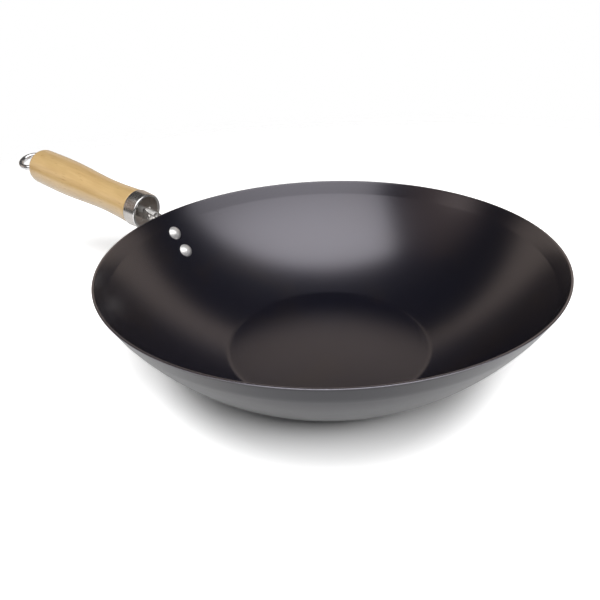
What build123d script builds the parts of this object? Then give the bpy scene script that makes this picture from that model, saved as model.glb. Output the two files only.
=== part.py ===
"""Flat-bottomed steel wok with a wooden grip held on a riveted bracket.

Frame: the origin is the centre of the flat underside, +Z is up and the grip points
along -X. All lengths are in millimetres and all angles in degrees.
"""
from build123d import *
import os
from math import acos, asin, atan2, cos, degrees, radians, sin, tan

# Bowl
rim_radius = 175.0
bowl_height = 90.3
base_radius = 86.2
wall_arc_radius = 185.0
rim_band_width = 14.0
rim_band_slope = 64.5
steel_thickness = 1.5
base_bend_radius = 12.0
rim_edge_round = 0.45

# Rivets
rivet_first_run = 20.9
rivet_pitch = 19.2
rivet_shank_radius = 2.5
rivet_head_radius = 6.3
rivet_head_height = 3.6
rivet_tail_radius = 4.0
rivet_tail_height = 2.0

# Line of the handle: the centre of the ferrule's mouth, from the rim, and its tilt
mouth_standoff = 21.9
mouth_drop = 1.8
handle_tilt = 10.9

# Bracket
bracket_sheet = 1.5
channel_width = 9.0
channel_root_width = 22.0
channel_straight_length = 15.0
channel_floor = 6.0
channel_tip_top = 4.3
channel_ear_length = 0.9
channel_shoulder_length = 1.7
channel_shoulder_top = 2.5
channel_waist_top = 0.6
channel_bend_radius = 3.0
channel_tip_station = 1.5
tongue_width = 6.0
eyelet_radius = 2.4
eyelet_hole_radius = 1.1
eyelet_rise = 0.6
eyelet_drop = 2.0
eyelet_setback = 5.8
eyelet_pitch = 5.9
pad_width = 30.0
pad_foot_width = 19.0
pad_foot_margin = 9.0
pad_corner_radius = 5.0

# Ferrule
ferrule_mouth_radius = 17.4
ferrule_rear_radius = 18.0
ferrule_wall = 1.0
ferrule_length = 14.5
ferrule_lip_round = 0.45
ferrule_bend_radius = 2.0

# Wooden grip
grip_length = 139.2
grip_neck_radius = 17.2
grip_neck_round = 0.6
grip_waist_radius = 15.6
grip_swell_radius = 17.9
grip_tail_radius = 17.75
grip_end_round = 5.4
grip_bore_radius = 2.6
grip_waist_share = 0.28
grip_swell_share = 0.60
grip_neck_taper_share = 0.06
grip_tail_taper_share = 0.02

# Spacer and end washer
end_washer_thickness = 1.3
end_washer_radius = 6.5
spacer_radius = 3.2

# Tie rod with its hanging eye, and the sleeve nut on its front end
rod_radius = 2.0
thread_pitch = 0.7
slack_turns = 1.25
rod_point_chamfer = 0.5
collar_radius = 3.2
eye_ring_radius = 11.6
eye_wire_radius = 2.5
eye_reach = 15.8
eye_roll = 16.5
nut_length = 10.8
nut_lip_length = 1.3
nut_lip_radius = 3.5
nut_socket_radius = 2.3
nut_socket_depth = 2.0

# Clearances and the overrun of cuts
seat_gap = 0.15
hole_clearance = 0.2
thread_clearance = 0.05
rivet_clearance = 0.05
nut_clearance = 0.1
overrun = 5.0


def along(slope):
    """Direction up the wall at a slope, in the plane of radius and height."""
    return Vector(cos(radians(slope)), sin(radians(slope)))


def outward(slope):
    """Outward normal of the wall at a slope, in the plane of radius and height."""
    return Vector(sin(radians(slope)), -cos(radians(slope)))


# The wall is one arc from the base to the rim band, and the band is straight.
base_point = Vector(base_radius, 0)
rim_point = Vector(rim_radius, bowl_height)
band_point = rim_point - along(rim_band_slope) * rim_band_width
chord = band_point - base_point
chord_slope = degrees(atan2(chord.Y, chord.X))
half_turn = degrees(asin(chord.length / 2 / wall_arc_radius))
arc_start_slope = chord_slope - half_turn
arc_end_slope = chord_slope + half_turn
arc_centre = base_point - outward(arc_start_slope) * wall_arc_radius


def wall_point(slope, inset=0.0):
    """Point on the curved wall, inset from its outer face."""
    return arc_centre + outward(slope) * (wall_arc_radius - inset)


def slope_at_run(run):
    """Slope of the wall at a distance below the rim, measured along the wall."""
    return arc_end_slope - degrees((run - rim_band_width) / wall_arc_radius)


def wall_outline(inset):
    """Foot, rim corner and edges of the wall, inset from its outer face."""
    foot_slope = degrees(acos((arc_centre.Y - inset) / (wall_arc_radius - inset)))
    middle_slope = (foot_slope + arc_end_slope) / 2
    crease_slope = (arc_end_slope + rim_band_slope) / 2
    foot = wall_point(foot_slope, inset)
    crease = band_point - outward(crease_slope) * inset
    corner = Vector(rim_radius - inset / sin(radians(rim_band_slope)), bowl_height)
    curve = ThreePointArc(foot, wall_point(middle_slope, inset), crease)
    return foot, corner, [curve, Line(crease, corner)]


def turned(edges):
    """Solid turned about the Z axis from edges in the plane of radius and height."""
    face = make_face([Plane.XZ * edge for edge in edges])
    return revolve(face, Axis.Z)


def wall_body(inset, rise=0.0):
    """Solid that fills the bowl up to a surface inset from its outer face."""
    foot, corner, wall = wall_outline(inset)
    axis_foot = Vector(0, foot.Y)
    lid_corner = Vector(corner.X, bowl_height + rise)
    axis_lid = Vector(0, bowl_height + rise)
    edges = [Line(axis_foot, foot)] + wall
    if rise > 0:
        edges += [Line(corner, lid_corner)]
    edges += [Line(lid_corner, axis_lid), Line(axis_lid, axis_foot)]
    return turned(edges)


def circles_at(shape, height, radius):
    """Circular edges of a shape at one height and of about one radius."""
    circles = shape.edges().filter_by(GeomType.CIRCLE)
    level = circles.filter_by_position(Axis.Z, height - seat_gap, height + seat_gap)
    return level.filter_by(lambda edge: abs(edge.radius - radius) < steel_thickness / 2)


def cylinder_between(radius, start, end):
    """Cylinder on the local Z axis from one station to another."""
    return Pos(0, 0, (start + end) / 2) * Cylinder(radius, abs(end - start))


def plane_on_wall(run):
    """Plane on the wall's outer face below the handle, its Z axis pointing outwards."""
    slope = slope_at_run(run)
    spot = wall_point(slope)
    normal = outward(slope)
    return Plane(origin=(-spot.X, 0, spot.Y), x_dir=(0, -1, 0), z_dir=(-normal.X, 0, normal.Y))


rivet_planes = [plane_on_wall(rivet_first_run + index * rivet_pitch) for index in range(2)]
rivet_hole_radius = rivet_shank_radius + rivet_clearance


def wok_bowl():
    """Spun steel bowl with a flat base, a plain cut rim and two rivet holes."""
    bowl = wall_body(0.0) - wall_body(steel_thickness, overrun)
    foot, corner, _ = wall_outline(steel_thickness)
    bowl = fillet(circles_at(bowl, 0.0, base_radius), base_bend_radius)
    bowl = fillet(circles_at(bowl, steel_thickness, foot.X), base_bend_radius - steel_thickness)
    rims = circles_at(bowl, bowl_height, rim_radius) + circles_at(bowl, bowl_height, corner.X)
    bowl = fillet(rims, rim_edge_round)
    for plane in rivet_planes:
        bowl -= plane * cylinder_between(rivet_hole_radius, -overrun, overrun)
    return bowl


# The handle's own frame: Z runs out along the grip, Y points up and X towards -Y.
handle = Plane(origin=(-rim_radius - mouth_standoff, 0, bowl_height - mouth_drop), x_dir=(0, -1, 0),
               z_dir=(-cos(radians(handle_tilt)), 0, sin(radians(handle_tilt))))

# Distance below the rim, along the wall, at which the handle's line meets the wall
handle_fall = tan(radians(handle_tilt))
band = along(rim_band_slope)
root_run = (mouth_drop + mouth_standoff * handle_fall) / (band.Y - band.X * handle_fall)

# Stations along the handle, counted from the ferrule's mouth
tab_front_station = channel_tip_station - bracket_sheet
nut_end_station = tab_front_station - nut_length
thread_end_station = nut_end_station + nut_socket_depth
rod_point_station = thread_end_station - slack_turns * thread_pitch
cup_floor_station = ferrule_length - ferrule_wall
grip_end_station = ferrule_length + grip_length
collar_station = grip_end_station + end_washer_thickness
eye_station = grip_end_station + eye_reach
channel_root_station = -mouth_standoff - overrun * 2


def channel_plan(inset, tip_station):
    """Plan of the channel between its bottom and top: narrow outside, flared at the bowl."""
    narrow = channel_width / 2 - inset
    wide = channel_root_width / 2 - inset
    right = [(narrow, tip_station), (narrow, -channel_straight_length), (wide, channel_root_station)]
    left = [(-x, z) for x, z in reversed(right)]
    outline = Polyline(*[(x, -z) for x, z in right + left], close=True)
    bottom = inset - channel_floor - bracket_sheet
    plan = Plane(origin=(0, bottom, 0), x_dir=(1, 0, 0), z_dir=(0, 1, 0))
    prism = extrude(plan * make_face(outline), channel_tip_top + overrun - bottom)
    long_edges = prism.edges().filter_by_position(Axis.Y, bottom, bottom)
    corners = long_edges.filter_by(lambda edge: abs(edge.center().X) > narrow / 2)
    return fillet(corners, channel_bend_radius - inset)


def channel_side():
    """Side view of the channel: ears at its tip, then a top edge that falls towards the bowl."""
    bottom = -channel_floor - bracket_sheet
    points = [(channel_root_station, bottom), (channel_tip_station, bottom),
              (channel_tip_station, channel_tip_top),
              (tab_front_station - channel_ear_length, channel_tip_top),
              (tab_front_station - channel_shoulder_length, channel_shoulder_top),
              (-channel_straight_length, channel_waist_top), (channel_root_station, channel_waist_top)]
    outline = Polyline(*points, close=True)
    side = Plane(origin=(0, 0, 0), x_dir=(0, 0, 1), z_dir=(-1, 0, 0))
    return extrude(side * make_face(outline), channel_root_width, both=True)


def eyelets():
    """Two raised eyelets in each side wall of the channel."""
    rings, holes = [], []
    for index in range(2):
        place = Pos(0, -eyelet_drop, -eyelet_setback - index * eyelet_pitch) * Rot(0, 90, 0)
        rings.append(place * Cylinder(eyelet_radius, channel_width + eyelet_rise * 2))
        holes.append(place * Cylinder(eyelet_hole_radius, channel_width + overrun))
    return rings, holes


def bracket_channel():
    """Folded channel with a tab across its tip and a tongue that reaches the ferrule's floor."""
    shell = channel_plan(0.0, channel_tip_station)
    hollow = channel_plan(bracket_sheet, tab_front_station)
    rings, holes = eyelets()
    body = shell & channel_side()
    for ring in rings:
        body += ring
    body -= hollow
    for hole in holes:
        body -= hole
    tongue_length = cup_floor_station - channel_tip_station
    body += Pos(0, -channel_floor - bracket_sheet / 2, channel_tip_station + tongue_length / 2) * Box(
        tongue_width, bracket_sheet, tongue_length)
    rod_hole = cylinder_between(rod_radius + hole_clearance, tab_front_station - overrun,
                                channel_tip_station + overrun)
    return handle * (body - rod_hole)


def bracket_pad():
    """Pad pressed to the bowl's curve, with its two rivet holes."""
    centre_run = rivet_first_run + rivet_pitch / 2
    face_plane = plane_on_wall(centre_run)
    top = centre_run - root_run - channel_floor
    foot = -rivet_pitch / 2 - pad_foot_margin
    outline = Polyline((pad_width / 2, top), (-pad_width / 2, top), (-pad_foot_width / 2, foot),
                       (pad_foot_width / 2, foot), close=True)
    blank = extrude(face_plane * make_face(outline), overrun * 2, both=True)
    blank = fillet(blank.edges().filter_by(Axis(face_plane.origin, face_plane.z_dir)), pad_corner_radius)
    shell = wall_body(-seat_gap - bracket_sheet) - wall_body(-seat_gap, overrun)
    pad = blank & shell
    for plane in rivet_planes:
        pad -= plane * cylinder_between(rivet_hole_radius, -overrun, overrun)
    return pad


def handle_bracket():
    """Pad and channel in one pressed piece, clear of the bowl's wall by the seat gap."""
    channel = bracket_channel() - wall_body(-seat_gap, overrun * 2)
    return (bracket_pad() + channel).clean()


def bracket_rivets():
    """Two rivets with domed heads inside the bowl and flat tails over the pad."""
    head_seat = -steel_thickness - seat_gap
    tail_seat = seat_gap * 2 + bracket_sheet
    dome_radius = (rivet_head_radius ** 2 + rivet_head_height ** 2) / (2 * rivet_head_height)
    rivets = []
    for plane in rivet_planes:
        ball = Pos(0, 0, head_seat - rivet_head_height + dome_radius) * Sphere(dome_radius)
        head = ball & cylinder_between(rivet_head_radius, head_seat, head_seat - rivet_head_height)
        shank = cylinder_between(rivet_shank_radius, head_seat, tail_seat)
        tail = cylinder_between(rivet_tail_radius, tail_seat, tail_seat + rivet_tail_height)
        tail = fillet(tail.edges().filter_by(GeomType.CIRCLE).sort_by(Axis.Z)[-1], rivet_tail_height / 3)
        rivets.append(plane * (head + shank + tail))
    return rivets


def sleeve_nut():
    """Long round nut that pulls on the bracket's tab; flats on its lip stop it turning."""
    between_walls = channel_width - (bracket_sheet + nut_clearance) * 2
    body = cylinder_between(between_walls / 2, nut_end_station, tab_front_station)
    lip = cylinder_between(nut_lip_radius, nut_end_station, nut_end_station + nut_lip_length)
    lip &= Pos(0, 0, nut_end_station) * Box(between_walls, nut_lip_radius * 2, nut_lip_length * 2)
    socket = cylinder_between(nut_socket_radius, nut_end_station - overrun, thread_end_station)
    thread = cylinder_between(rod_radius + thread_clearance, nut_end_station, tab_front_station + overrun)
    return handle * (body + lip - socket - thread)


def ring_between(outer_radius, inner_radius, start, end):
    """Tube or washer on the handle's line, from one station to another."""
    body = cylinder_between(outer_radius, start, end)
    return handle * (body - cylinder_between(inner_radius, start - overrun, end + overrun))


def spacer_tube():
    """Tube round the rod between the bracket's tab and the ferrule's floor."""
    return ring_between(spacer_radius, rod_radius + hole_clearance, channel_tip_station, cup_floor_station)


def end_washer():
    """Washer between the grip's rounded end and the rod's collar."""
    return ring_between(end_washer_radius, rod_radius + hole_clearance, grip_end_station, collar_station)


def outer_rim(shape, station):
    """Widest circular edge of a turned shape at a station."""
    circles = shape.edges().filter_by(GeomType.CIRCLE)
    rims = circles.filter_by_position(Axis.Z, station - seat_gap, station + seat_gap)
    return rims.sort_by(lambda edge: edge.radius)[-1]


def ferrule():
    """Drawn steel cup in front of the grip: open to the bowl, with a rounded lip and a bored floor."""
    inner_mouth = ferrule_mouth_radius - ferrule_wall
    inner_rear = ferrule_rear_radius - ferrule_wall
    bore = rod_radius + hole_clearance
    corners = [(inner_mouth, 0), (ferrule_mouth_radius, 0), (ferrule_rear_radius, ferrule_length),
               (bore, ferrule_length), (bore, cup_floor_station), (inner_rear, cup_floor_station)]
    cup = turned([Polyline(*corners, close=True)])
    cup = fillet(outer_rim(cup, ferrule_length), ferrule_bend_radius)
    cup = fillet(outer_rim(cup, cup_floor_station), ferrule_bend_radius - ferrule_wall)
    lip = cup.edges().filter_by(GeomType.CIRCLE).filter_by_position(Axis.Z, 0, 0)
    return handle * fillet(lip, ferrule_lip_round)


def wood_grip():
    """Turned grip against the cup's back: a flared neck, a waist, a swell and a rounded end."""
    neck = (grip_neck_radius, ferrule_length)
    waist = (grip_waist_radius, ferrule_length + grip_length * grip_waist_share)
    swell = (grip_swell_radius, ferrule_length + grip_length * grip_swell_share)
    tail = (grip_tail_radius, grip_end_station)
    leans = [(-grip_neck_taper_share, 1), (-grip_tail_taper_share, 1)]
    edges = [
        Line((grip_bore_radius, ferrule_length), neck),
        Spline(neck, waist, swell, tail, tangents=leans),
        Line(tail, (grip_bore_radius, grip_end_station)),
        Line((grip_bore_radius, grip_end_station), (grip_bore_radius, ferrule_length)),
    ]
    grip = turned(edges)
    grip = fillet(outer_rim(grip, ferrule_length), grip_neck_round)
    return handle * fillet(outer_rim(grip, grip_end_station), grip_end_round)


def tie_rod():
    """Steel rod threaded at its front, with a collar and a hanging eye at its rear."""
    eye_front = eye_station - eye_ring_radius
    rod = cylinder_between(rod_radius, rod_point_station, eye_front)
    rod = chamfer(rod.edges().filter_by(GeomType.CIRCLE).sort_by(Axis.Z)[0], rod_point_chamfer)
    collar = cylinder_between(collar_radius, collar_station, eye_front - eye_wire_radius / 2)
    turn = Rot(0, 0, -eye_roll) * Rot(90, 0, 0)
    eye = Pos(0, 0, eye_station) * turn * Torus(eye_ring_radius, eye_wire_radius)
    return handle * (rod + collar + eye)


def write(name, shape):
    """One file for each sub-part; a list is written as a group of separate solids."""
    if isinstance(shape, list):
        shape = Compound(children=shape)
    export_step(shape, f"parts/{name}.step")


os.makedirs("parts", exist_ok=True)
write("wok_bowl", wok_bowl())
write("handle_bracket", handle_bracket())
write("bracket_rivets", bracket_rivets())
write("sleeve_nut", sleeve_nut())
write("spacer_tube", spacer_tube())
write("ferrule", ferrule())
write("wood_grip", wood_grip())
write("end_washer", end_washer())
write("tie_rod", tie_rod())
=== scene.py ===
"""Looks of the flat-bottomed steel wok: finer meshes, materials, floor, lights and camera.

Metres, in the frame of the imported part: the origin is the centre of the flat underside,
+Z is up and the grip points along -X.
"""
from math import acos, asin, atan2, cos, hypot, pi, radians, sin

import bmesh
import bpy
from mathutils import Matrix, Vector

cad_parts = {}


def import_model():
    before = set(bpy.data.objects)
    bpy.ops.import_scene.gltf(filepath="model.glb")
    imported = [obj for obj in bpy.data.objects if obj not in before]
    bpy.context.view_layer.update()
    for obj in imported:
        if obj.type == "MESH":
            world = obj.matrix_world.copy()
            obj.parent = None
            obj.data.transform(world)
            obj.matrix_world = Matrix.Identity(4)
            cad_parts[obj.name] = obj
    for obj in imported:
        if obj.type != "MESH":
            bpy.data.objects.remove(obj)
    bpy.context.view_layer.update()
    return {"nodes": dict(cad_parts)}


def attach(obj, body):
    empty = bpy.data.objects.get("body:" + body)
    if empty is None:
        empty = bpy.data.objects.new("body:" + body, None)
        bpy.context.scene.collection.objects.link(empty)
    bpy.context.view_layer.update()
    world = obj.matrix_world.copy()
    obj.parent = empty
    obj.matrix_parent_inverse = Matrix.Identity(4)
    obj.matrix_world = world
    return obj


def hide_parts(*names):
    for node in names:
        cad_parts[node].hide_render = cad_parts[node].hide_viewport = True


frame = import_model()
MM = 0.001

# Bowl
RIM_RADIUS = 175.0 * MM
BOWL_HEIGHT = 90.3 * MM
BASE_RADIUS = 86.2 * MM
WALL_ARC_RADIUS = 185.0 * MM
RIM_BAND_WIDTH = 14.0 * MM
RIM_BAND_SLOPE = radians(64.5)
STEEL = 1.5 * MM
BASE_BEND_RADIUS = 12.0 * MM
RIM_EDGE_ROUND = 0.45 * MM
CREASE_RADIUS_INSIDE = 6.0 * MM
CREASE_RADIUS_OUTSIDE = 70.0 * MM

# Rivets, and how far a hole's cutter reaches to each side of the wall's outer face
RIVET_COUNT = 2
RIVET_FIRST_RUN = 20.9 * MM
RIVET_PITCH = 19.2 * MM
RIVET_HOLE_RADIUS = 2.55 * MM
RIVET_HOLE_REACH = 5.0 * MM
RIVET_SHANK_RADIUS = 2.5 * MM
RIVET_HEAD_RADIUS = 6.3 * MM
RIVET_HEAD_HEIGHT = 3.6 * MM
RIVET_TAIL_RADIUS = 4.0 * MM
RIVET_TAIL_HEIGHT = 2.0 * MM
RIVET_TAIL_ROUND = 0.6 * MM
SEAT_GAP = 0.15 * MM

# Line of the handle
MOUTH_STANDOFF = 21.9 * MM
MOUTH_DROP = 1.8 * MM
HANDLE_TILT = radians(10.9)

# Ferrule; the round of its bead stays a little under the bead's radius
FERRULE_MOUTH_RADIUS = 17.4 * MM
FERRULE_REAR_RADIUS = 18.0 * MM
FERRULE_WALL = 1.0 * MM
FERRULE_LENGTH = 14.5 * MM
FERRULE_BEND_RADIUS = 2.0 * MM
BEAD_RADIUS = 1.3 * MM
BEAD_ROUND = BEAD_RADIUS * 0.98
BEAD_BACK_ROUND = BEAD_RADIUS * 0.4
BEAD_FOOT_STATION = BEAD_RADIUS * 2.5

# Wooden grip
GRIP_LENGTH = 139.2 * MM
GRIP_NECK_RADIUS = 17.2 * MM
GRIP_NECK_ROUND = 0.6 * MM
GRIP_WAIST_RADIUS = 15.6 * MM
GRIP_SWELL_RADIUS = 17.9 * MM
GRIP_TAIL_RADIUS = 17.75 * MM
GRIP_END_ROUND = 5.4 * MM
GRIP_BORE_RADIUS = 2.6 * MM
GRIP_WAIST_SHARE = 0.28
GRIP_SWELL_SHARE = 0.60

# Sleeve nut and spacer tube on the rod
NUT_RADIUS = 2.9 * MM
NUT_LENGTH = 10.8 * MM
NUT_LIP_LENGTH = 1.3 * MM
NUT_LIP_RADIUS = 3.5 * MM
NUT_BORE_RADIUS = 2.05 * MM
NUT_SOCKET_RADIUS = 2.3 * MM
NUT_SOCKET_DEPTH = 2.0 * MM
NUT_EDGE_ROUND = 0.25 * MM
SPACER_RADIUS = 3.2 * MM
SPACER_START = 1.5 * MM

# Tie rod, eye and end washer
ROD_RADIUS = 2.0 * MM
ROD_POINT_STATION = -9.675 * MM
ROD_POINT_CHAMFER = 0.5 * MM
COLLAR_RADIUS = 3.2 * MM
END_WASHER_RADIUS = 6.5 * MM
END_WASHER_THICKNESS = 1.3 * MM
END_WASHER_ROUND = 0.3 * MM
WASHER_HOLE_RADIUS = 2.2 * MM
EYE_RING_RADIUS = 11.6 * MM
EYE_WIRE_RADIUS = 2.5 * MM
EYE_REACH = 15.8 * MM
EYE_ROLL = radians(16.5)

# Stations along the handle, counted from the ferrule's mouth
CUP_FLOOR_STATION = FERRULE_LENGTH - FERRULE_WALL
GRIP_END_STATION = FERRULE_LENGTH + GRIP_LENGTH
COLLAR_STATION = GRIP_END_STATION + END_WASHER_THICKNESS
EYE_STATION = GRIP_END_STATION + EYE_REACH

# Fineness of the meshes: segments round an axis and steps along a curve
BOWL_SEGMENTS = 360
FERRULE_SEGMENTS = 160
EYE_SEGMENTS = 160
EYE_WIRE_SEGMENTS = 40
GRIP_SEGMENTS = 128
TUBE_SEGMENTS = 96
RIVET_SEGMENTS = 64
WASHER_SEGMENTS = 64
ROD_SEGMENTS = 48
HOLE_SEGMENTS = 48
BASE_STEPS = 24
BASE_BEND_STEPS = 8
WALL_STEPS = 40
RIM_BAND_STEPS = 6
ROUND_STEPS = 6
BEAD_STEPS = 14
CUP_BEND_STEPS = 12
CUP_INNER_BEND_STEPS = 10
DOME_STEPS = 24
GRIP_SIDE_STEPS = 120
GRIP_END_STEPS = 24
SHARP_ANGLE = radians(30)
BRACKET_SHARP_ANGLE = radians(25)
POLE_RADIUS = 1e-7
LENGTH_SLACK = 1e-12
RING_CENTRE_RADIUS = 0.1 * MM

# Coating: the tint of its shine, its colours as stops of a ramp, and for each part of the bowl the
# index of refraction and the range of roughness
COATING_TINT = (0.95, 0.91, 1.0, 1.0)
COATING_COLOURS = [(0.30, (0.0044, 0.0046, 0.0092)), (0.55, (0.0052, 0.0050, 0.0088)),
                   (0.75, (0.0100, 0.0078, 0.0084))]
COATING_INSIDE = {"ior": 2.0, "rough": (0.235, 0.275)}
COATING_OUTSIDE = {"ior": 1.33, "rough": (0.22, 0.28)}
COATING_RIM = {"ior": 3.0, "rough": (0.24, 0.30)}

# Metals: two colours, the range of roughness, the share of metallic shine, and then the depth of
# the dents and the round of the edges, or the fineness of the turning lines
RIVET_FINISH = {"dark": (0.80, 0.78, 0.77), "light": (0.92, 0.91, 0.90), "rough": (0.30, 0.42),
                "polish": 0.62, "dent": 0.45}
EYE_FINISH = {"dark": (0.66, 0.65, 0.66), "light": (0.78, 0.77, 0.78), "rough": (0.10, 0.20),
              "polish": 0.92, "dent": 0.04}
BRACKET_FINISH = {"dark": (0.66, 0.64, 0.62), "light": (0.84, 0.82, 0.80), "rough": (0.12, 0.24),
                  "polish": 0.90, "dent": 0.45, "edge": 0.3 * MM}
BRIGHT_FINISH = {"dark": (0.86, 0.85, 0.84), "light": (0.94, 0.93, 0.92), "rough": (0.16, 0.28),
                 "polish": 0.45, "dent": 0.10}
FERRULE_FINISH = {"dark": (0.50, 0.48, 0.46), "light": (0.60, 0.575, 0.555),
                  "rough": (0.18, 0.28), "polish": 0.93, "lines": 2200.0}
# Inside of the cup: rougher, and lighter than the outside, painted light that lifts the shade in
# the recess
FERRULE_INSIDE_PAINTED_LIGHT = {"dark": (0.62, 0.58, 0.55), "light": (0.72, 0.675, 0.64),
                         "rough": (0.50, 0.62), "polish": 0.93, "lines": 1500.0}
# Curled lip: a little smoother, and lighter than the body, a painted highlight along the lip
FERRULE_LIP_PAINTED_HIGHLIGHT = {"dark": (0.78, 0.77, 0.76), "light": (0.86, 0.85, 0.84),
                      "rough": (0.16, 0.24), "polish": 0.93, "lines": 2200.0}
WASHER_FINISH = {"dark": (0.62, 0.61, 0.60), "light": (0.72, 0.71, 0.70), "rough": (0.18, 0.28),
                 "polish": 0.9, "lines": 1500.0}

# Wood: its colours and the three layers that darken them, as stops of ramps, and its lacquer
WOOD_COLOURS = [(0.28, (0.630, 0.420, 0.186)), (0.46, (0.700, 0.484, 0.220)),
                (0.60, (0.735, 0.512, 0.238)), (0.78, (0.670, 0.450, 0.200))]
WOOD_STREAKS = [(0.35, (0.94, 0.92, 0.88)), (0.65, (1.0, 1.0, 1.0))]
WOOD_PORES = [(0.26, (0.76, 0.68, 0.58)), (0.34, (1.0, 1.0, 1.0))]
WOOD_SHADE = [(0.3, (0.90, 0.87, 0.83)), (0.7, (1.0, 1.0, 1.0))]
WOOD_ROUGH = (0.40, 0.50)
LACQUER = {"Coat Weight": 1.0, "Coat IOR": 1.75, "Coat Roughness": 0.22}


# Frames and outlines
def placed(origin, x_dir, z_dir):
    """Matrix of a local frame from its origin, X direction and Z direction."""
    columns = Matrix((x_dir, z_dir.cross(x_dir), z_dir)).transposed()
    return Matrix.Translation(origin) @ columns.to_4x4()


# The handle's own frame: Z runs out along the grip, Y points up and X towards -Y.
HANDLE_Z = Vector((-cos(HANDLE_TILT), 0, sin(HANDLE_TILT)))
HANDLE_X = Vector((0, -1, 0))
HANDLE_ORIGIN = Vector((-RIM_RADIUS - MOUTH_STANDOFF, 0, BOWL_HEIGHT - MOUTH_DROP))
HANDLE = placed(HANDLE_ORIGIN, HANDLE_X, HANDLE_Z)


def along(slope):
    """Direction up the wall at a slope, in the plane of radius and height."""
    return Vector((cos(slope), sin(slope)))


def outward(slope):
    """Outward normal of the wall at a slope, in the plane of radius and height."""
    return Vector((sin(slope), -cos(slope)))


# Outer face of the wall, in the plane of radius and height: a flat base, a small bend, the wall's
# arc and the straight band below the rim
RIM_POINT = Vector((RIM_RADIUS, BOWL_HEIGHT))
BAND_POINT = RIM_POINT - along(RIM_BAND_SLOPE) * RIM_BAND_WIDTH
CHORD = BAND_POINT - Vector((BASE_RADIUS, 0))
HALF_TURN = asin(CHORD.length / 2 / WALL_ARC_RADIUS)
ARC_END_SLOPE = atan2(CHORD.y, CHORD.x) + HALF_TURN
ARC_START_SLOPE = ARC_END_SLOPE - HALF_TURN * 2
ARC_CENTRE = Vector((BASE_RADIUS, 0)) - outward(ARC_START_SLOPE) * WALL_ARC_RADIUS
BEND_HEIGHT = ARC_CENTRE.y - BASE_BEND_RADIUS
BEND_SLOPE = acos(BEND_HEIGHT / (WALL_ARC_RADIUS - BASE_BEND_RADIUS))
BEND_CENTRE = ARC_CENTRE + outward(BEND_SLOPE) * (WALL_ARC_RADIUS - BASE_BEND_RADIUS)


def steps(start, end, count):
    """Evenly spaced values from start to end, both included."""
    return [start + (end - start) * index / count for index in range(count + 1)]


def rounded(corner, before, after, radius, count=ROUND_STEPS):
    """Arc that rounds a corner between the points before and after it."""
    towards_before = (before - corner).normalized()
    towards_after = (after - corner).normalized()
    half_angle = towards_before.angle(towards_after) / 2
    bisector = (towards_before + towards_after).normalized()
    centre = corner + bisector * (radius / sin(half_angle))
    reach = radius * cos(half_angle) / sin(half_angle)
    first = corner + towards_before * reach - centre
    last = corner + towards_after * reach - centre
    turn = first.angle(last)
    return [centre + (first * sin((1 - share) * turn) + last * sin(share * turn)) / sin(turn)
            for share in steps(0.0, 1.0, count)]


def between(start, end, count):
    """Points inside the straight line from start to end."""
    return [start.lerp(end, share) for share in steps(0.0, 1.0, count)[1:-1]]


def wall_face(inset):
    """Points of one face of the wall from the axis to the crease's end, and its rim corner.

    The face lies inset from the outer one.
    """
    base = [Vector((radius, inset)) for radius in steps(0.0, BEND_CENTRE.x, BASE_STEPS)]
    bend = [BEND_CENTRE + outward(slope) * (BASE_BEND_RADIUS - inset)
            for slope in steps(0.0, BEND_SLOPE, BASE_BEND_STEPS)]
    curve = [ARC_CENTRE + outward(slope) * (WALL_ARC_RADIUS - inset)
             for slope in steps(BEND_SLOPE, ARC_END_SLOPE, WALL_STEPS)]
    corner = BAND_POINT - outward((ARC_END_SLOPE + RIM_BAND_SLOPE) / 2) * inset
    crease = rounded(corner, corner - along(ARC_END_SLOPE), corner + along(RIM_BAND_SLOPE),
                     CREASE_RADIUS_INSIDE if inset > 0 else CREASE_RADIUS_OUTSIDE)
    curve = [point for point in curve[1:-1] if point.y < crease[0].y]
    top = Vector((RIM_RADIUS - inset / sin(RIM_BAND_SLOPE), BOWL_HEIGHT))
    return base + bend[1:] + curve + crease, top


def bowl_profile():
    """Outline of the bowl's sheet, from the axis below to the axis above."""
    outer, outer_top = wall_face(0.0)
    inner, inner_top = wall_face(STEEL)
    outer_rim = rounded(outer_top, outer[-1], inner_top, RIM_EDGE_ROUND)
    inner_rim = rounded(inner_top, outer_top, inner[-1], RIM_EDGE_ROUND)
    band_out = between(outer[-1], outer_rim[0], RIM_BAND_STEPS)
    band_in = between(inner_rim[-1], inner[-1], RIM_BAND_STEPS)
    return outer + band_out + outer_rim + inner_rim + band_in + inner[::-1]


# Mesh makers
def in_scene(name, data):
    """New object of a mesh, light or camera in the scene."""
    made = bpy.data.objects.new(name, data)
    bpy.context.scene.collection.objects.link(made)
    return made


def finished(name, mesh, place=None):
    """Object of a mesh put in its place, smooth but for its sharp edges."""
    if place is not None:
        mesh.transform(place)
    mesh.shade_smooth()
    mesh.set_sharp_from_angle(angle=SHARP_ANGLE)
    return in_scene(name, mesh)


def from_bmesh(name, shape):
    """Mesh with outward normals from a bmesh, which is freed."""
    bmesh.ops.recalc_face_normals(shape, faces=shape.faces)
    mesh = bpy.data.meshes.new(name)
    shape.to_mesh(mesh)
    shape.free()
    return mesh


def lathe(name, profile, segments, closed=False):
    """Mesh turned about Z from points of radius and height; points on the axis become poles."""
    shape = bmesh.new()
    rings = []
    for radius, height in profile:
        if radius < POLE_RADIUS:
            rings.append([shape.verts.new((0, 0, height))])
            continue
        rings.append([shape.verts.new((radius * cos(2 * pi * turn / segments),
                                       radius * sin(2 * pi * turn / segments), height))
                      for turn in range(segments)])
    pairs = list(zip(rings, rings[1:]))
    if closed:
        pairs.append((rings[-1], rings[0]))
    for low, high in pairs:
        for turn in range(segments):
            following = (turn + 1) % segments
            corners = []
            for ring, index in ((low, turn), (low, following), (high, following), (high, turn)):
                corner = ring[index % len(ring)]
                if corner not in corners:
                    corners.append(corner)
            if len(corners) > 2:
                shape.faces.new(corners)
    return from_bmesh(name, shape)


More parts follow.
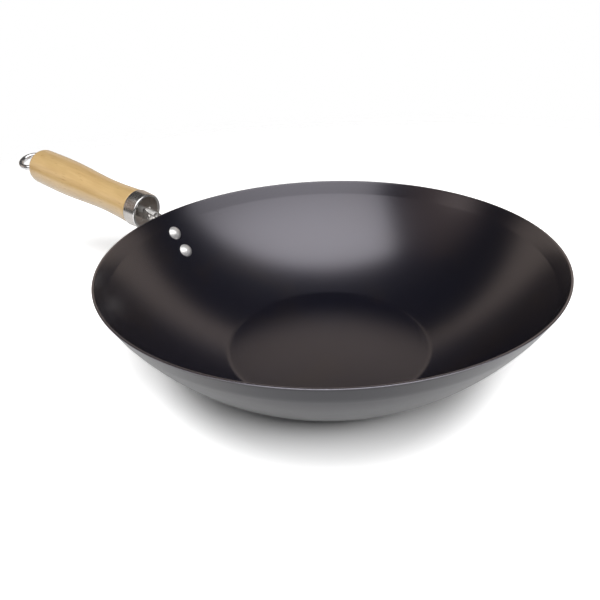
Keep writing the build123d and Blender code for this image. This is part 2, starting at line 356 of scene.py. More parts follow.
def combined(piece, tool, operation):
    """Mesh of a piece joined with a tool or cut by it; the tool is removed."""
    change = piece.modifiers.new("boolean", "BOOLEAN")
    change.operation = operation
    change.solver = "EXACT"
    change.object = tool
    bpy.context.view_layer.update()
    graph = bpy.context.evaluated_depsgraph_get()
    mesh = bpy.data.meshes.new_from_object(piece.evaluated_get(graph))
    piece.modifiers.clear()
    bpy.data.objects.remove(tool)
    return mesh


def replace(piece, node, body, slot, *materials):
    """The piece stands for a CAD node, rides its body and takes its materials; its slot is not
    used.

    This resets which material each face has.
    """
    piece.data.materials.clear()
    for material in materials:
        piece.data.materials.append(material)
    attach(piece, body)
    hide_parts(node)


# Material helpers
def new_material(name):
    """New node material, with its tree and its shader node."""
    material = bpy.data.materials.new(name)
    material.use_nodes = True
    return material, material.node_tree, material.node_tree.nodes["Principled BSDF"]


def node(tree, kind, inputs=None, **settings):
    """New node with its settings and input values or links."""
    made = tree.nodes.new(kind)
    for key, value in settings.items():
        setattr(made, key, value)
    for key, value in (inputs or {}).items():
        if isinstance(value, bpy.types.NodeSocket):
            tree.links.new(value, made.inputs[key])
        else:
            made.inputs[key].default_value = value
    return made


def maths(tree, operation, first, second=0.0):
    """Output of a Math node."""
    inputs = {0: first, 1: second}
    return node(tree, "ShaderNodeMath", inputs, operation=operation).outputs[0]


def ramp(tree, factor, stops):
    """Colour output of a ramp with stops of position and colour."""
    made = node(tree, "ShaderNodeValToRGB", {0: factor})
    elements = made.color_ramp.elements
    while len(elements) < len(stops):
        elements.new(0.5)
    for element, (position, colour) in zip(elements, stops):
        element.position = position
        element.color = (*colour, 1.0)
    return made.outputs[0]


def blended(tree, factor, first, second, blend_type="MIX"):
    """Colour output of a Mix node."""
    return node(tree, "ShaderNodeMix", {0: factor, 6: first, 7: second},
                data_type="RGBA", blend_type=blend_type).outputs[2]


def grey(tree, value):
    """Colour with the same red, green and blue."""
    return node(tree, "ShaderNodeCombineColor", {0: value, 1: value, 2: value}).outputs[0]


def spread(tree, factor, low, high):
    """The factor from 0 to 1 spread over low to high."""
    return node(tree, "ShaderNodeMapRange", {0: factor, 3: low, 4: high}).outputs[0]


def smoothstep(tree, value, start, end, low=0.0, high=1.0):
    """Soft change from low to high while the value goes from start to end."""
    return node(tree, "ShaderNodeMapRange", {0: value, 1: start, 2: end, 3: low, 4: high},
                interpolation_type="SMOOTHSTEP").outputs[0]


def bump(tree, height, strength, distance, normal=None):
    """Normal output of a Bump node."""
    inputs = {"Height": height, "Strength": strength, "Distance": distance}
    if normal is not None:
        inputs["Normal"] = normal
    return node(tree, "ShaderNodeBump", inputs).outputs[0]


def noise(tree, vector, scale, detail, roughness=0.5, distortion=0.0):
    """Value output of a noise texture."""
    inputs = {"Vector": vector, "Scale": scale, "Detail": detail, "Roughness": roughness,
              "Distortion": distortion}
    return node(tree, "ShaderNodeTexNoise", inputs).outputs[0]


def coordinates(tree, place=None):
    """The object's own coordinates, or those of a local frame."""
    own = node(tree, "ShaderNodeTexCoord").outputs["Object"]
    if place is None:
        return own
    inputs = {"Vector": own, "Location": place.to_translation(), "Rotation": place.to_euler()}
    return node(tree, "ShaderNodeMapping", inputs, vector_type="TEXTURE").outputs[0]


def drawn_out(tree, place, share):
    """Coordinates in which a noise is drawn out along Z."""
    inputs = {"Vector": place, "Scale": (1.0, 1.0, share)}
    return node(tree, "ShaderNodeMapping", inputs).outputs[0]


def turned_coordinates(tree, source, round_scale, run_scale):
    """Coordinates in which a noise turns into fine rings round the Z axis."""
    x, y, z = node(tree, "ShaderNodeSeparateXYZ", {0: source}).outputs
    radius = maths(tree, "SQRT", maths(tree, "ADD", maths(tree, "MULTIPLY", x, x),
                                       maths(tree, "MULTIPLY", y, y)))
    safe = maths(tree, "MAXIMUM", radius, RING_CENTRE_RADIUS)
    return node(tree, "ShaderNodeCombineXYZ", {
        0: maths(tree, "MULTIPLY", maths(tree, "DIVIDE", x, safe), round_scale),
        1: maths(tree, "MULTIPLY", maths(tree, "DIVIDE", y, safe), round_scale),
        2: maths(tree, "MULTIPLY", maths(tree, "ADD", radius, z), run_scale)}).outputs[0]


# Materials
def coated_steel(name, ior, rough):
    """Dark stove-fired coating over spun steel: fine rings and faint brown mottling."""
    material, tree, shader = new_material(name)
    place = coordinates(tree)
    turned = turned_coordinates(tree, place, round_scale=1.2, run_scale=1100.0)
    rings = noise(tree, turned, scale=1.0, detail=3.0, roughness=0.6)
    mottle = noise(tree, place, scale=14.0, detail=5.0, roughness=0.55, distortion=0.4)
    grain = noise(tree, place, scale=1800.0, detail=2.0)
    uneven = maths(tree, "ADD", spread(tree, mottle, *rough), spread(tree, rings, -0.02, 0.02))
    fine = bump(tree, grain, strength=0.08, distance=0.05 * MM)
    normal = bump(tree, rings, strength=0.05, distance=0.05 * MM, normal=fine)
    tree.links.new(ramp(tree, mottle, COATING_COLOURS), shader.inputs["Base Color"])
    tree.links.new(uneven, shader.inputs["Roughness"])
    tree.links.new(normal, shader.inputs["Normal"])
    shader.inputs["IOR"].default_value = ior
    shader.inputs["Specular Tint"].default_value = COATING_TINT
    return material


def metal_surface(tree, shader, cloud, grain, dark, light, rough, polish):
    """Colour of a metal from a cloudy noise and its gloss from a fine one."""
    colour = ramp(tree, cloud, [(0.3, dark), (0.7, light)])
    tree.links.new(colour, shader.inputs["Base Color"])
    tree.links.new(spread(tree, grain, *rough), shader.inputs["Roughness"])
    shader.inputs["Metallic"].default_value = polish


def bare_metal(name, dark, light, rough, polish, dent, edge=0.0):
    """Metal with a cloudy colour, uneven gloss, faint dents and edges worn round."""
    material, tree, shader = new_material(name)
    place = coordinates(tree)
    cloud = noise(tree, place, scale=220.0, detail=4.0, roughness=0.6)
    scuff = noise(tree, place, scale=700.0, detail=3.0, roughness=0.6)
    metal_surface(tree, shader, cloud, scuff, dark, light, rough, polish)
    worn = node(tree, "ShaderNodeBevel", {"Radius": edge}).outputs[0] if edge > 0 else None
    normal = bump(tree, scuff, strength=dent, distance=0.1 * MM, normal=worn)
    tree.links.new(normal, shader.inputs["Normal"])
    return material


def turned_metal(name, dark, light, rough, polish, lines):
    """Metal with fine turning lines round the handle's line."""
    material, tree, shader = new_material(name)
    place = coordinates(tree, HANDLE)
    turned = turned_coordinates(tree, place, round_scale=2.0, run_scale=lines)
    rings = noise(tree, turned, scale=1.0, detail=3.0, roughness=0.6)
    cloud = noise(tree, place, scale=120.0, detail=4.0, roughness=0.55)
    metal_surface(tree, shader, cloud, rings, dark, light, rough, polish)
    tree.links.new(bump(tree, rings, strength=0.08, distance=0.05 * MM), shader.inputs["Normal"])
    return material


def grip_wood():
    """Pale close-grained hardwood along the handle, under a clear satin lacquer."""
    material, tree, shader = new_material("pale_wood_finish")
    place = coordinates(tree, HANDLE)
    bands = noise(tree, drawn_out(tree, place, 0.10), scale=75.0, detail=3.0, distortion=1.2)
    fibres = noise(tree, drawn_out(tree, place, 0.045), scale=900.0, detail=3.0, roughness=0.6)
    pores = noise(tree, drawn_out(tree, place, 0.14), scale=700.0, detail=2.0)
    broad = noise(tree, place, scale=26.0, detail=2.0)
    colour = ramp(tree, bands, WOOD_COLOURS)
    for layer, stops in ((fibres, WOOD_STREAKS), (pores, WOOD_PORES), (broad, WOOD_SHADE)):
        colour = blended(tree, 1.0, colour, ramp(tree, layer, stops), "MULTIPLY")
    tree.links.new(colour, shader.inputs["Base Color"])
    tree.links.new(spread(tree, fibres, *WOOD_ROUGH), shader.inputs["Roughness"])
    tree.links.new(bump(tree, fibres, strength=0.10, distance=0.1 * MM), shader.inputs["Normal"])
    for socket, value in LACQUER.items():
        shader.inputs[socket].default_value = value
    return material


# Pieces
def wall_spot(run):
    """Frame on the wall's outer face below the handle, its Z pointing outwards.

    The run is counted down the face from the rim.
    """
    slope = ARC_END_SLOPE - (run - RIM_BAND_WIDTH) / WALL_ARC_RADIUS
    normal = outward(slope)
    spot = ARC_CENTRE + normal * WALL_ARC_RADIUS
    return placed(Vector((-spot.x, 0, spot.y)), HANDLE_X, Vector((-normal.x, 0, normal.y)))


RIVET_FRAMES = [wall_spot(RIVET_FIRST_RUN + index * RIVET_PITCH) for index in range(RIVET_COUNT)]


def bowl():
    """Spun sheet with a hole for each rivet, coated inside, outside and on its rim."""
    piece = finished("bowl", lathe("bowl", bowl_profile(), BOWL_SEGMENTS))
    for place in RIVET_FRAMES:
        profile = [(0, -RIVET_HOLE_REACH), (RIVET_HOLE_RADIUS, -RIVET_HOLE_REACH),
                   (RIVET_HOLE_RADIUS, RIVET_HOLE_REACH), (0, RIVET_HOLE_REACH)]
        cutter = finished("cutter", lathe("cutter", profile, HOLE_SEGMENTS), place)
        piece.data = combined(piece, cutter, "DIFFERENCE")
    replace(piece, "wok_bowl", "pan", "coated_steel",
            coated_steel("coating_inside", **COATING_INSIDE),
            coated_steel("coating_outside", **COATING_OUTSIDE),
            coated_steel("coating_rim", **COATING_RIM))
    for polygon in piece.data.polygons:
        centre, facing = polygon.center, polygon.normal
        outside = centre.x * facing.x + centre.y * facing.y > 0 or facing.z < 0
        at_rim = BOWL_HEIGHT - centre.z < RIM_EDGE_ROUND
        polygon.material_index = 2 if at_rim else int(outside)


def rivet_profile():
    """Outline of a rivet from the top of its dome, inside the bowl, to its tail."""
    seat = -STEEL - SEAT_GAP
    tail_seat = SEAT_GAP * 2 + STEEL
    tail_end = tail_seat + RIVET_TAIL_HEIGHT
    dome_radius = (RIVET_HEAD_RADIUS ** 2 + RIVET_HEAD_HEIGHT ** 2) / (2 * RIVET_HEAD_HEIGHT)
    centre = seat - RIVET_HEAD_HEIGHT + dome_radius
    edge_angle = asin(RIVET_HEAD_RADIUS / dome_radius)
    dome = [Vector((dome_radius * sin(angle), centre - dome_radius * cos(angle)))
            for angle in steps(0.0, edge_angle, DOME_STEPS)]
    tail_foot = Vector((RIVET_TAIL_RADIUS, tail_seat))
    tail_corner = Vector((RIVET_TAIL_RADIUS, tail_end))
    tail = rounded(tail_corner, tail_foot, Vector((0, tail_end)), RIVET_TAIL_ROUND)
    shank = [Vector((RIVET_SHANK_RADIUS, seat)), Vector((RIVET_SHANK_RADIUS, tail_seat))]
    return dome + shank + [tail_foot] + tail + [Vector((0, tail_end))]


def rivets():
    """Two domed rivets in one piece, one in each hole of the bowl."""
    joined = bmesh.new()
    for place in RIVET_FRAMES:
        mesh = lathe("rivet", rivet_profile(), RIVET_SEGMENTS)
        mesh.transform(place)
        joined.from_mesh(mesh)
        bpy.data.meshes.remove(mesh)
    piece = finished("rivets", from_bmesh("rivets", joined))
    finish = bare_metal("rivet_finish", **RIVET_FINISH)
    replace(piece, "bracket_rivets", "pan", "polished_steel", finish)


def ferrule():
    """Drawn cup with its lip curled inwards and a hole for the rod in its floor."""
    inner_mouth = FERRULE_MOUTH_RADIUS - BEAD_RADIUS * 2
    mouth_out = Vector((FERRULE_MOUTH_RADIUS, 0))
    mouth_in = Vector((inner_mouth, 0))
    rear_out = Vector((FERRULE_REAR_RADIUS, FERRULE_LENGTH))
    rear_in = Vector((FERRULE_REAR_RADIUS - FERRULE_WALL, CUP_FLOOR_STATION))
    bore_back = Vector((WASHER_HOLE_RADIUS, FERRULE_LENGTH))
    bore_front = Vector((WASHER_HOLE_RADIUS, CUP_FLOOR_STATION))
    bead_back = Vector((inner_mouth, BEAD_RADIUS * 2))
    bead_foot = Vector((FERRULE_MOUTH_RADIUS - FERRULE_WALL, BEAD_FOOT_STATION))
    outside = rounded(mouth_out, mouth_in, rear_out, BEAD_ROUND, BEAD_STEPS)
    outside += rounded(rear_out, mouth_out, bore_back, FERRULE_BEND_RADIUS, CUP_BEND_STEPS)
    inside = rounded(rear_in, bore_front, bead_foot, FERRULE_BEND_RADIUS - FERRULE_WALL,
                     CUP_INNER_BEND_STEPS)
    inside += [bead_foot] + rounded(bead_back, bead_foot, mouth_in, BEAD_BACK_ROUND)
    inside += rounded(mouth_in, bead_back, mouth_out, BEAD_ROUND, BEAD_STEPS)
    middle = bore_front.lerp(inside[0], 0.5)
    profile = outside + [bore_back, bore_front, middle] + inside
    mesh = lathe("ferrule_cup", profile, FERRULE_SEGMENTS, closed=True)
    piece = finished("ferrule_cup", mesh, HANDLE)
    replace(piece, "ferrule", "pan", "polished_steel",
            turned_metal("ferrule_finish", **FERRULE_FINISH),
            turned_metal("ferrule_inside_painted_light", **FERRULE_INSIDE_PAINTED_LIGHT),
            turned_metal("ferrule_lip_painted_highlight", **FERRULE_LIP_PAINTED_HIGHLIGHT))
    to_handle = HANDLE.inverted()
    for polygon in piece.data.polygons:
        spot = to_handle @ polygon.center
        facing = to_handle.to_3x3() @ polygon.normal
        to_mouth = facing.z < -0.7
        inwards = facing.x * spot.x + facing.y * spot.y < 0 or to_mouth
        # Faces inside the cup take the lighter copy, painted light in the recess
        if inwards and spot.z > BEAD_RADIUS:
            polygon.material_index = 1
        # Faces round the mouth take the lighter copy, a painted highlight on the lip
        elif spot.z < BEAD_RADIUS * 2:
            polygon.material_index = 2


def through(points, count):
    """Smooth curve through points: a natural cubic spline over the chord length."""
    lengths = [0.0]
    for before, after in zip(points, points[1:]):
        lengths.append(lengths[-1] + hypot(after.x - before.x, after.y - before.y))
    size = len(points)
    bends = [[0.0] * size, [0.0] * size]
    for axis in range(2):
        sweep = [0.0] * size
        for index in range(1, size - 1):
            back = lengths[index] - lengths[index - 1]
            ahead = lengths[index + 1] - lengths[index]
            change = ((points[index + 1][axis] - points[index][axis]) / ahead
                      - (points[index][axis] - points[index - 1][axis]) / back)
            pivot = 2 * (back + ahead) - back * sweep[index - 1]
            sweep[index] = ahead / pivot
            bends[axis][index] = (6 * change - back * bends[axis][index - 1]) / pivot
        for index in range(size - 2, 0, -1):
            bends[axis][index] -= sweep[index] * bends[axis][index + 1]
    curve = []
    for length in steps(0.0, lengths[-1], count):
        span = max(index for index in range(size - 1)
                   if lengths[index] <= length + LENGTH_SLACK)
        width = lengths[span + 1] - lengths[span]
        ahead = (length - lengths[span]) / width
        behind = 1 - ahead
        curve.append(Vector([
            behind * points[span][axis] + ahead * points[span + 1][axis]
            + ((behind ** 3 - behind) * bends[axis][span]
               + (ahead ** 3 - ahead) * bends[axis][span + 1]) * width ** 2 / 6
            for axis in range(2)]))
    return curve


def grip():
    """Turned wood with a neck, a waist, a swell and a rounded end, bored for the rod."""
    neck = Vector((GRIP_NECK_RADIUS, FERRULE_LENGTH))
    waist = Vector((GRIP_WAIST_RADIUS, FERRULE_LENGTH + GRIP_LENGTH * GRIP_WAIST_SHARE))
    swell = Vector((GRIP_SWELL_RADIUS, FERRULE_LENGTH + GRIP_LENGTH * GRIP_SWELL_SHARE))
    tail = Vector((GRIP_TAIL_RADIUS, GRIP_END_STATION))
    front_bore = Vector((GRIP_BORE_RADIUS, FERRULE_LENGTH))
    end_bore = Vector((GRIP_BORE_RADIUS, GRIP_END_STATION))
    side = [point for point in through([neck, waist, swell, tail], GRIP_SIDE_STEPS)
            if FERRULE_LENGTH + GRIP_NECK_ROUND < point.y < GRIP_END_STATION - GRIP_END_ROUND]
    profile = [front_bore] + rounded(neck, front_bore, side[0], GRIP_NECK_ROUND) + side
    profile += rounded(tail, side[-1], end_bore, GRIP_END_ROUND, GRIP_END_STEPS) + [end_bore]
    piece = finished("grip", lathe("grip", profile, GRIP_SEGMENTS, closed=True), HANDLE)
    replace(piece, "wood_grip", "pan", "pale_wood", grip_wood())


def end_washer():
    """Washer between the grip's end and the rod's collar."""
    hole_front = Vector((WASHER_HOLE_RADIUS, GRIP_END_STATION))
    hole_back = Vector((WASHER_HOLE_RADIUS, COLLAR_STATION))
    edge_front = Vector((END_WASHER_RADIUS, GRIP_END_STATION))
    edge_back = Vector((END_WASHER_RADIUS, COLLAR_STATION))
    profile = [hole_front, edge_front]
    profile += rounded(edge_back, edge_front, hole_back, END_WASHER_ROUND) + [hole_back]
    mesh = lathe("end_washer_ring", profile, WASHER_SEGMENTS, closed=True)
    piece = finished("end_washer_ring", mesh, HANDLE)
    replace(piece, "end_washer", "end_washer", "polished_steel",
            turned_metal("washer_finish", **WASHER_FINISH))


def tie_rod():
    """Rod and collar turned on the handle's line, joined with the eye's ring."""
    eye_front = EYE_STATION - EYE_RING_RADIUS
    collar_end = eye_front - EYE_WIRE_RADIUS / 2
    profile = [(0, ROD_POINT_STATION), (ROD_RADIUS - ROD_POINT_CHAMFER, ROD_POINT_STATION),
               (ROD_RADIUS, ROD_POINT_STATION + ROD_POINT_CHAMFER), (ROD_RADIUS, COLLAR_STATION),
               (COLLAR_RADIUS, COLLAR_STATION), (COLLAR_RADIUS, collar_end),
               (ROD_RADIUS, collar_end), (ROD_RADIUS, eye_front), (0, eye_front)]
    rod = finished("rod", lathe("rod", profile, ROD_SEGMENTS), HANDLE)
    turns = [2 * pi * turn / EYE_WIRE_SEGMENTS for turn in range(EYE_WIRE_SEGMENTS)]
    wire = [(EYE_RING_RADIUS + EYE_WIRE_RADIUS * cos(turn), EYE_WIRE_RADIUS * sin(turn))
            for turn in turns]
    standing = Matrix.Rotation(-EYE_ROLL, 4, "Z") @ Matrix.Rotation(pi / 2, 4, "X")
    eye = finished("eye", lathe("eye", wire, EYE_SEGMENTS, closed=True),
                   HANDLE @ Matrix.Translation((0, 0, EYE_STATION)) @ standing)
    joined = combined(rod, eye, "UNION")
    bpy.data.objects.remove(rod)
    piece = finished("tie_rod_and_eye", joined)
    finish = bare_metal("eye_finish", **EYE_FINISH)
    replace(piece, "tie_rod", "tie_rod", "polished_steel", finish)


def sleeve_nut(finish):
    """Long round nut, open at its front end, with a lip that has two flats."""
    front = -NUT_LENGTH
    lip_back = front + NUT_LIP_LENGTH
    socket_end = front + NUT_SOCKET_DEPTH
    mouth = Vector((NUT_SOCKET_RADIUS, front))
    socket_floor = Vector((NUT_SOCKET_RADIUS, socket_end))
    lip_outer = Vector((NUT_LIP_RADIUS, front))
    lip_rear = Vector((NUT_LIP_RADIUS, lip_back))
    shank = Vector((NUT_RADIUS, lip_back))
    end = Vector((NUT_RADIUS, 0))
    bore = Vector((NUT_BORE_RADIUS, 0))
    profile = rounded(mouth, socket_floor, lip_outer, NUT_EDGE_ROUND)
    profile += rounded(lip_outer, mouth, lip_rear, NUT_EDGE_ROUND) + [lip_rear, shank]
    profile += rounded(end, shank, bore, NUT_EDGE_ROUND)
    profile += [bore, Vector((NUT_BORE_RADIUS, socket_end)), socket_floor]
    mesh = lathe("sleeve_nut_bar", profile, TUBE_SEGMENTS, closed=True)
    for vertex in mesh.vertices:
        if vertex.co.z < lip_back + NUT_EDGE_ROUND:
            vertex.co.x = max(-NUT_RADIUS, min(NUT_RADIUS, vertex.co.x))
    piece = finished("sleeve_nut_bar", mesh, HANDLE)
    replace(piece, "sleeve_nut", "pan", "bright_steel", finish)


def spacer_tube(finish):
    """Tube round the rod inside the ferrule."""
    back_out = Vector((SPACER_RADIUS, CUP_FLOOR_STATION))
    front_out = Vector((SPACER_RADIUS, SPACER_START))
    back_in = Vector((WASHER_HOLE_RADIUS, CUP_FLOOR_STATION))
    front_in = Vector((WASHER_HOLE_RADIUS, SPACER_START))
    profile = [front_in] + rounded(front_out, front_in, back_out, NUT_EDGE_ROUND)
    profile += rounded(back_out, front_out, back_in, NUT_EDGE_ROUND) + [back_in]
    piece = finished("spacer", lathe("spacer", profile, TUBE_SEGMENTS, closed=True), HANDLE)
    replace(piece, "spacer_tube", "pan", "bright_steel", finish)


def smooth_by_angle(piece, angle):
    """Modifier that shades a CAD node's round faces smooth and leaves its corners sharp."""
    tree = bpy.data.node_groups.new("smooth_by_angle", "GeometryNodeTree")
    for way in ("INPUT", "OUTPUT"):
        tree.interface.new_socket(name="Geometry", in_out=way, socket_type="NodeSocketGeometry")
    start = tree.nodes.new("NodeGroupInput").outputs[0]
    end = tree.nodes.new("NodeGroupOutput").inputs[0]
    edge_angle = tree.nodes.new("GeometryNodeInputMeshEdgeAngle").outputs["Unsigned Angle"]
    corner = node(tree, "FunctionNodeCompare", {0: edge_angle, 1: angle},
                  operation="GREATER_THAN").outputs[0]
    faces = node(tree, "GeometryNodeSetShadeSmooth",
                 {"Geometry": start, "Shade Smooth": True}).outputs[0]
    edges = node(tree, "GeometryNodeSetShadeSmooth",
                 {"Geometry": faces, "Selection": corner, "Shade Smooth": False},
                 domain="EDGE").outputs[0]
    tree.links.new(edges, end)
    piece.modifiers.new("smooth_by_angle", "NODES").node_group = tree


def bracket():
    """The CAD node itself, with its finish."""
    piece = frame["nodes"]["handle_bracket"]
    piece.data.materials.clear()
    piece.data.materials.append(bare_metal("bracket_finish", **BRACKET_FINISH))
    smooth_by_angle(piece, BRACKET_SHARP_ANGLE)


bowl()
rivets()
ferrule()
grip()
end_washer()
tie_rod()
bracket()
bright = bare_metal("bright_steel_finish", **BRIGHT_FINISH)
sleeve_nut(bright)
spacer_tube(bright)

# Floor: pale, whiter away from the object's foot, and clear beyond its edge so that it runs into
# the pale world. Near the foot it gets none of the extra whiteness: a painted shadow that darkens
# and shapes the lamps' real shadow there.
FLOOR_RADIUS = 1.6
FLOOR_SEGMENTS = 96
FLOOR_FADE_START = 0.5
FLOOR_FADE_END = 1.1
FLOOR_COLOUR = (0.94, 0.94, 0.94, 1.0)
FLOOR_EXTRA = 0.80
FLOOR_GLOSS_SHARE = 0.2
# Painted shadow round the foot: its centre, the radius inside which the floor gets none of the
# extra whiteness, and the radius past which it gets all of it
PAINTED_SHADOW_CENTRE = Vector((0.025, -0.0433, 0.0))
PAINTED_SHADOW_INNER_RADIUS = 0.08
PAINTED_SHADOW_OUTER_RADIUS = 0.14


def in_gloss(tree, path):
    """1 for rays that metal or glass sends on, or else 0."""
    return maths(tree, "MAXIMUM", path.outputs["Is Glossy Ray"],
                 path.outputs["Is Transmission Ray"])


def floor():
    """Level disc whose extra whiteness is only for the camera, and a share of it for gloss."""
    shape = bmesh.new()
    bmesh.ops.create_circle(shape, cap_ends=True, radius=FLOOR_RADIUS, segments=FLOOR_SEGMENTS)
    mesh = bpy.data.meshes.new("floor")
    shape.to_mesh(mesh)
    shape.free()
    piece = in_scene("floor", mesh)
    material, tree, _ = new_material("floor_finish")
    tree.nodes.clear()
    path = node(tree, "ShaderNodeLightPath")
    seen = maths(tree, "MAXIMUM", path.outputs["Is Camera Ray"],
                 maths(tree, "MULTIPLY", in_gloss(tree, path), FLOOR_GLOSS_SHARE))
    away = node(tree, "ShaderNodeVectorMath", {0: coordinates(tree), 1: PAINTED_SHADOW_CENTRE},
                operation="DISTANCE").outputs["Value"]
    # Painted shadow: no extra whiteness near the foot, on top of the lamps' real shadow
    lift = smoothstep(tree, away, PAINTED_SHADOW_INNER_RADIUS, PAINTED_SHADOW_OUTER_RADIUS, 0.0, FLOOR_EXTRA)
    extra = grey(tree, maths(tree, "MULTIPLY", seen, lift))
    paint = node(tree, "ShaderNodeBsdfDiffuse", {"Color": FLOOR_COLOUR}).outputs[0]
    lifted = node(tree, "ShaderNodeBsdfDiffuse", {"Color": extra}).outputs[0]
    both = node(tree, "ShaderNodeAddShader", {0: paint, 1: lifted}).outputs[0]
    clear = node(tree, "ShaderNodeBsdfTransparent").outputs[0]
    reach = node(tree, "ShaderNodeVectorMath", {0: coordinates(tree)},
                 operation="LENGTH").outputs["Value"]
    fade = smoothstep(tree, reach, FLOOR_FADE_START, FLOOR_FADE_END)
    faded = node(tree, "ShaderNodeMixShader", {0: fade, 1: both, 2: clear}).outputs[0]
    node(tree, "ShaderNodeOutputMaterial", {"Surface": faded})
    mesh.materials.append(material)


floor()

# World: white to the camera. Metal sees the white backdrop below the horizon, a panel overhead with
# straight edges and a dimmer foot, a card low behind the object, and a warm glow and a low strip of
# light on its left in a dim studio. Dull surfaces get a soft fill from overhead.
WHITE = (1.0, 1.0, 1.0, 1.0)
BLACK = (0.0, 0.0, 0.0, 1.0)
BACKDROP_TOP = radians(-6)
BACKDROP_EDGE = radians(3)
STUDIO_COLOUR = (0.025, 0.025, 0.025, 1.0)
FILL_START = radians(40)
FILL_END = radians(60)
FILL_LIGHT = 0.35

# Panel: slope and offset of its back and side edges on a level plane at a height of 1, how soft
# they are, its radiance, and its level at elevations in degrees
PANEL_BACK = (0.6, -0.13)
PANEL_SIDE = (0.25, 0.525)
PANEL_EDGE = 0.05
PANEL_LOWEST_HEIGHT = 0.02
PANEL_RADIANCE = 2.62
PANEL_LEVELS = ((14, 0.0), (22, 0.44), (33, 0.56), (39, 0.76), (46, 0.86), (55, 0.94), (66, 1.0))

# Card: its azimuth and top, and on each side the angle from which the top falls and how steeply
CARD_AZIMUTH = radians(117)
CARD_TOP = radians(39)
CARD_LEFT = (radians(25), 0.85)
CARD_RIGHT = (radians(13), 0.55)
CARD_EDGE = radians(4)
CARD_COLOUR = (0.57, 0.48, 0.40)

# Glow and strip: azimuth and elevation, reach and colour
GLOW_DIRECTION = (radians(-136), radians(31))
GLOW_REACH = radians(30)
GLOW_COLOUR = (0.30, 0.23, 0.19)
STRIP_DIRECTION = (radians(-142), radians(19))
STRIP_REACH = radians(15)
STRIP_COLOUR = (0.62, 0.56, 0.50)


def fading(tree, value, edge, softness):
    """1 below the edge and 0 above it, with a soft change between."""
    return smoothstep(tree, value, maths(tree, "SUBTRACT", edge, softness),
                      maths(tree, "ADD", edge, softness), 1.0, 0.0)


def tinted(tree, amount, colour):
    """A colour scaled by an amount."""
    return blended(tree, amount, BLACK, (*colour, 1.0))


def added(tree, first, second):
    """Sum of two colours."""
    return blended(tree, 1.0, first, second, "ADD")


def beyond(tree, value, start, slope):
    """How far a value is past its start, times a slope."""
    past = maths(tree, "MAXIMUM", maths(tree, "SUBTRACT", value, start), 0.0)
    return maths(tree, "MULTIPLY", past, slope)


def panel_light(tree, x, y, z, rise):
    """Light of the panel, whose edges are straight lines on a level plane overhead."""
    height = maths(tree, "MAXIMUM", z, PANEL_LOWEST_HEIGHT)
    right = maths(tree, "DIVIDE", x, height)
    far = maths(tree, "DIVIDE", y, height)
    slope, offset = PANEL_BACK
    back = maths(tree, "SUBTRACT", maths(tree, "MULTIPLY", right, slope), far)
    back = fading(tree, maths(tree, "MULTIPLY", back, -1.0), offset, PANEL_EDGE)
    slope, offset = PANEL_SIDE
    side = maths(tree, "ADD", maths(tree, "MULTIPLY", far, slope), right)
    side = fading(tree, maths(tree, "MULTIPLY", side, -1.0), offset, PANEL_EDGE)
    stops = [(angle / 90, (level,) * 3) for angle, level in PANEL_LEVELS]
    level = ramp(tree, maths(tree, "MULTIPLY", rise, 2 / pi), stops)
    inside = maths(tree, "MULTIPLY", back, side)
    return maths(tree, "MULTIPLY", maths(tree, "MULTIPLY", inside, PANEL_RADIANCE), level)


def card_light(tree, x, y, rise):
    """Light of the card, whose level top falls off to both sides."""
    ahead = maths(tree, "ADD", maths(tree, "MULTIPLY", x, cos(CARD_AZIMUTH)),
                  maths(tree, "MULTIPLY", y, sin(CARD_AZIMUTH)))
    aside = maths(tree, "SUBTRACT", maths(tree, "MULTIPLY", y, cos(CARD_AZIMUTH)),
                  maths(tree, "MULTIPLY", x, sin(CARD_AZIMUTH)))
    turn = maths(tree, "ARCTAN2", aside, ahead)
    lowered = maths(tree, "ADD", beyond(tree, maths(tree, "MULTIPLY", turn, -1.0), *CARD_LEFT),
                    beyond(tree, turn, *CARD_RIGHT))
    share = fading(tree, rise, maths(tree, "SUBTRACT", CARD_TOP, lowered), CARD_EDGE)
    return tinted(tree, share, CARD_COLOUR)


def spot_light(tree, way, direction, reach, colour):
    """Round soft patch of light in a direction of azimuth and elevation."""
    azimuth, elevation = direction
    middle = (cos(azimuth) * cos(elevation), sin(azimuth) * cos(elevation), sin(elevation))
    nearness = node(tree, "ShaderNodeVectorMath", {0: way, 1: middle},
                    operation="DOT_PRODUCT").outputs["Value"]
    return tinted(tree, smoothstep(tree, nearness, cos(reach), 1.0), colour)


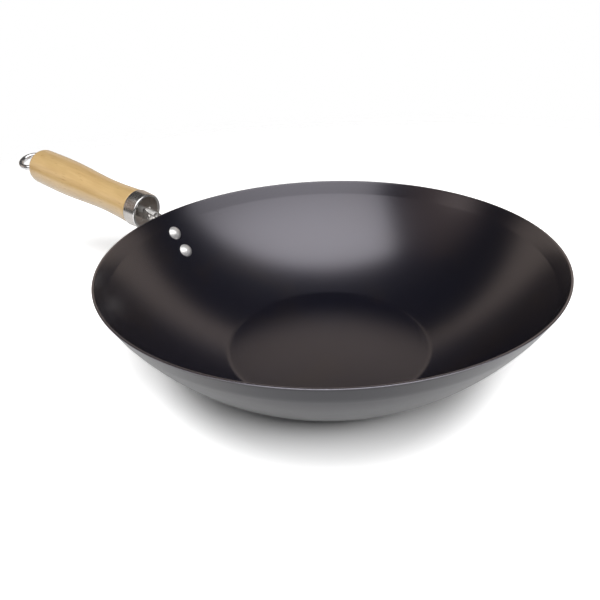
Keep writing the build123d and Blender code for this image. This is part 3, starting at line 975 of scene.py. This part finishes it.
def world():
    """Surroundings: one look for the camera, one for gloss and one that lights dull surfaces."""
    made = bpy.data.worlds.new("studio")
    bpy.context.scene.world = made
    made.use_nodes = True
    made.cycles.sampling_method = "NONE"
    tree = made.node_tree
    tree.nodes.clear()
    way = node(tree, "ShaderNodeTexCoord").outputs["Generated"]
    x, y, z = node(tree, "ShaderNodeSeparateXYZ", {0: way}).outputs
    rise = maths(tree, "ARCSINE", z)
    card = card_light(tree, x, y, rise)
    glow = spot_light(tree, way, GLOW_DIRECTION, GLOW_REACH, GLOW_COLOUR)
    strip = spot_light(tree, way, STRIP_DIRECTION, STRIP_REACH, STRIP_COLOUR)
    panel = grey(tree, panel_light(tree, x, y, z, rise))
    in_metal = added(tree, card, added(tree, glow, strip))
    in_metal = added(tree, added(tree, in_metal, panel), STUDIO_COLOUR)
    low = fading(tree, rise, BACKDROP_TOP, BACKDROP_EDGE)
    in_metal = blended(tree, low, in_metal, WHITE)
    fill = grey(tree, smoothstep(tree, rise, FILL_START, FILL_END, 0.0, FILL_LIGHT))
    path = node(tree, "ShaderNodeLightPath")
    lit = blended(tree, in_gloss(tree, path), fill, in_metal)
    shown = blended(tree, path.outputs["Is Camera Ray"], lit, WHITE)
    backdrop = node(tree, "ShaderNodeBackground", {"Color": shown, "Strength": 1.0}).outputs[0]
    node(tree, "ShaderNodeOutputWorld", {"Surface": backdrop})


world()

# Softboxes: level panels, a large one high on the camera's side and a lower one on the right. Their
# near edge, far edge and width are shares of their height over the floor.
SOFTBOX_HEIGHT = 2.4
SOFTBOXES = {
    "softbox_front": {"azimuth": radians(-60), "near": 0.42, "far": 1.14, "width": 0.90,
                      "radiance": 9.6},
    "softbox_right": {"azimuth": radians(-12), "near": 1.00, "far": 1.60, "width": 0.80,
                      "radiance": 6.0}}


def softbox(name, azimuth, near, far, width, radiance):
    """Area lamp that faces down, hidden from the camera and from gloss."""
    towards = Vector((cos(azimuth), sin(azimuth), 0))
    reach = SOFTBOX_HEIGHT * (near + far) / 2
    light = bpy.data.lights.new(name, "AREA")
    light.shape = "RECTANGLE"
    light.size = SOFTBOX_HEIGHT * (far - near)
    light.size_y = SOFTBOX_HEIGHT * width
    light.energy = radiance * pi * light.size * light.size_y
    lamp = in_scene(name, light)
    lamp.matrix_world = placed(towards * reach + Vector((0, 0, SOFTBOX_HEIGHT)), towards,
                               Vector((0, 0, 1)))
    lamp.visible_camera = False
    lamp.visible_glossy = False


for softbox_name, settings in SOFTBOXES.items():
    softbox(softbox_name, **settings)

# Camera at the photograph's place: its position and its forward and right directions
CAMERA_PLACE = Vector((0.1881, -0.3284, 0.2553))
CAMERA_FORWARD = Vector((-0.4777, 0.7300, -0.4888)).normalized()
CAMERA_RIGHT = Vector((0.8489, 0.5268, -0.0429))
CAMERA_LENS = 31.54
CAMERA_SENSOR = 36.0
CAMERA_CLIP_START = 0.01


def camera():
    """The photograph's camera."""
    data = bpy.data.cameras.new("camera")
    data.lens = CAMERA_LENS
    data.sensor_width = CAMERA_SENSOR
    data.clip_start = CAMERA_CLIP_START
    made = in_scene("camera", data)
    back = -CAMERA_FORWARD
    right = (CAMERA_RIGHT - back * CAMERA_RIGHT.dot(back)).normalized()
    made.matrix_world = placed(CAMERA_PLACE, right, back)
    bpy.context.scene.camera = made


camera()
bpy.context.scene.view_settings.view_transform = "Standard"
